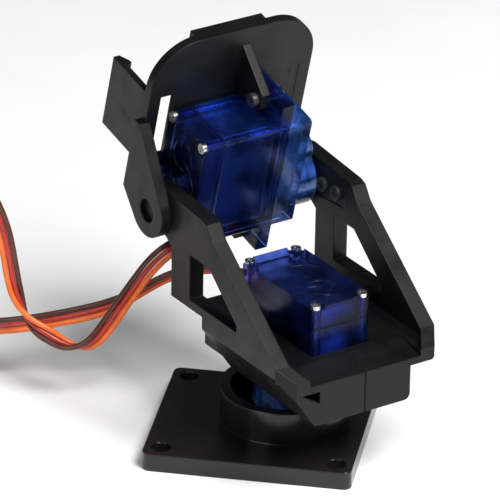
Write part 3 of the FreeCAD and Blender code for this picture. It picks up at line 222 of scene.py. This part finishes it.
def dress(materials):
    """Every CAD node takes the material its record slot names, or its own variant of it."""
    variants = {"base_plate": "base_nylon",
                # the bottom covers take the darker copy of the case plastic: painted shade
                "pan_servo_bottom_cover": "blue_cover_shaded",
                "tilt_servo_bottom_cover": "blue_cover_shaded",
                # the gear covers take the lighter copy of the case plastic: painted light
                "pan_servo_gear_cover": "blue_gear_cover_lit",
                "tilt_servo_gear_cover": "blue_gear_cover_lit"}
    for entry in frame["record"]["subparts"]:
        node = nodes[entry["node"]]
        name = variants.get(entry["node"], entry["material_slot"])
        node.data.materials.clear()
        node.data.materials.append(materials[name])
        node.data.polygons.foreach_set("material_index", [0] * len(node.data.polygons))


# ---------------------------------------------------------------- cables

POINTS_PER_METRE = 1e6


def islands(mesh):
    """Vertex indices of each connected piece; points in the same micrometre count as one."""
    leader = {}
    first_at = {}
    for vertex in mesh.vertices:
        key = tuple(round(c * POINTS_PER_METRE) for c in vertex.co)
        leader[vertex.index] = first_at.setdefault(key, vertex.index)
    parent = {index: index for index in set(leader.values())}

    def top(index):
        while parent[index] != index:
            parent[index] = parent[parent[index]]
            index = parent[index]
        return index

    for edge in mesh.edges:
        parent[top(leader[edge.vertices[0]])] = top(leader[edge.vertices[1]])
    groups = {}
    for index, lead in leader.items():
        groups.setdefault(top(lead), set()).add(index)
    return list(groups.values())


def lane_order(mesh, group, first_point, across):
    """How far across the cable one wire starts, seen from where the cable leaves its servo."""
    near = min(group, key=lambda index: (mesh.vertices[index].co - first_point).length)
    return (mesh.vertices[near].co - first_point).dot(across)


def color_wires(mesh, exit_point, across, materials):
    """Gives the three wires of a cable their own colours, in order from one side."""
    groups = islands(mesh)
    groups.sort(key=lambda group: lane_order(mesh, group, exit_point, across))
    mesh.materials.clear()
    for name in ("wire_orange", "wire_red", "wire_brown"):
        mesh.materials.append(materials[name])
    lane = {index: position for position, group in enumerate(groups) for index in group}
    for polygon in mesh.polygons:
        polygon.material_index = lane[polygon.vertices[0]]


def bending_copy(node_name):
    """A copy of a CAD cable on the yoke, its transform baked in, in place of the hidden original.
    """
    cable = bpy.data.objects.new(node_name + "_wires", nodes[node_name].data.copy())
    bpy.context.scene.collection.objects.link(cable)
    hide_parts(node_name)
    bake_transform(cable)


PAN_EXIT = Vector((-3.1, 3.4, 29.9)) * MM
PAN_ACROSS = Vector((-0.7, -0.7, 0.0))
TILT_ROOT = Vector((-19.5, 6.7, 37.3)) * MM
TILT_PARTING = Vector((-20.3, 7.5, 33.2)) * MM
TILT_ACROSS = Vector((-0.7, 0.7, 0.3))


def color_cables(materials):
    """Colours the wires of both cables and puts a baked copy in place of the tilt cable's free
    length.
    """
    color_wires(nodes["pan_servo_cable"].data, PAN_EXIT, PAN_ACROSS, materials)
    color_wires(nodes["tilt_servo_cable_root"].data, TILT_ROOT, TILT_ACROSS, materials)
    color_wires(nodes["tilt_servo_cable"].data, TILT_PARTING, TILT_ACROSS, materials)
    bending_copy("tilt_servo_cable")


# ---------------------------------------------------------------- stage, light and camera

CAMERA_AZIMUTH = math.radians(9.08)
CAMERA_ELEVATION = math.radians(26.06)
CAMERA_ROLL = math.radians(1.2)
CAMERA_DISTANCE = 0.9937
CAMERA_TARGET = Vector((-6.79, -0.99, 36.15)) * MM
SENSOR_WIDTH = 36.0
LENS = 404.0


def add_camera():
    """The camera, turned to look at its target with a slight roll."""
    data = bpy.data.cameras.new("camera")
    data.sensor_width = SENSOR_WIDTH
    data.lens = LENS
    data.clip_start = 0.05
    data.clip_end = 10.0
    camera = bpy.data.objects.new("camera", data)
    bpy.context.scene.collection.objects.link(camera)
    back = Vector((math.sin(CAMERA_AZIMUTH) * math.cos(CAMERA_ELEVATION),
                   -math.cos(CAMERA_AZIMUTH) * math.cos(CAMERA_ELEVATION),
                   math.sin(CAMERA_ELEVATION)))
    level = Vector((math.cos(CAMERA_AZIMUTH), math.sin(CAMERA_AZIMUTH), 0))
    upright = back.cross(level)
    right = level * math.cos(CAMERA_ROLL) + upright * math.sin(CAMERA_ROLL)
    up = back.cross(right)
    turn = Matrix((right, up, back)).transposed()
    place = Matrix.Translation(CAMERA_TARGET + back * CAMERA_DISTANCE)
    camera.matrix_world = place @ turn.to_4x4()
    bpy.context.scene.camera = camera


LAMP_AIM = (0, 0, 0.03)
KEY_POSITION = (0.41, -0.31, 0.74)
KEY_SIDE = 0.45
KEY_WATTS = 14
FILL_POSITION = (-0.5, -0.65, 0.75)
FILL_WIDTH = 0.6
FILL_HEIGHT = 0.5
FILL_WATTS = 4


def add_area(name, position, width, height, power):
    """A soft rectangular lamp that faces the part."""
    data = bpy.data.lights.new(name, "AREA")
    data.shape = "RECTANGLE"
    data.size = width
    data.size_y = height
    data.energy = power
    light = bpy.data.objects.new(name, data)
    light.location = position
    facing = Vector(LAMP_AIM) - Vector(position)
    light.rotation_euler = facing.to_track_quat("-Z", "Y").to_euler()
    bpy.context.scene.collection.objects.link(light)


FLOOR_RADIUS = 6.0
FLOOR_SIDES = 48


def add_floor():
    """A pale round floor, flat so that the part can be seen from every side."""
    points = []
    for step in range(FLOOR_SIDES):
        angle = 2 * math.pi * step / FLOOR_SIDES
        points.append((FLOOR_RADIUS * math.cos(angle), FLOOR_RADIUS * math.sin(angle), 0.0))
    mesh = bpy.data.meshes.new("floor")
    mesh.from_pydata(points, [], [tuple(range(FLOOR_SIDES))])
    floor = bpy.data.objects.new("floor", mesh)
    bpy.context.scene.collection.objects.link(floor)
    mesh.materials.append(principled(
        "floor_paper", (0.80, 0.80, 0.80), (0.84, 0.84, 0.84), 0.45, 0.6, 60 * MM, 0.5 * MM, 0.02))


ROOM_LIGHT = 0.06
BACKDROP = 1.0


def add_world():
    """A dim room around the part that looks pale where the camera sees past the floor."""
    world = bpy.data.worlds.new("world")
    world.use_nodes = True
    tree = world.node_tree
    background = tree.nodes["Background"]
    background.inputs["Color"].default_value = (1, 1, 1, 1)
    path = tree.nodes.new("ShaderNodeLightPath")
    strength = remap(tree, path.outputs["Is Camera Ray"], ROOM_LIGHT, BACKDROP, 0.0, 1.0)
    tree.links.new(strength, background.inputs["Strength"])
    bpy.context.scene.world = world


def light_scene():
    """A large soft key lamp from the front right and a weaker fill from the left."""
    add_world()
    add_area("key", KEY_POSITION, KEY_SIDE, KEY_SIDE, KEY_WATTS)
    add_area("fill", FILL_POSITION, FILL_WIDTH, FILL_HEIGHT, FILL_WATTS)
    bpy.context.scene.view_settings.view_transform = "Standard"
    bpy.context.scene.view_settings.look = "None"


# ---------------------------------------------------------------- build

materials = make_materials()
dress(materials)
color_cables(materials)
add_floor()
light_scene()
add_camera()
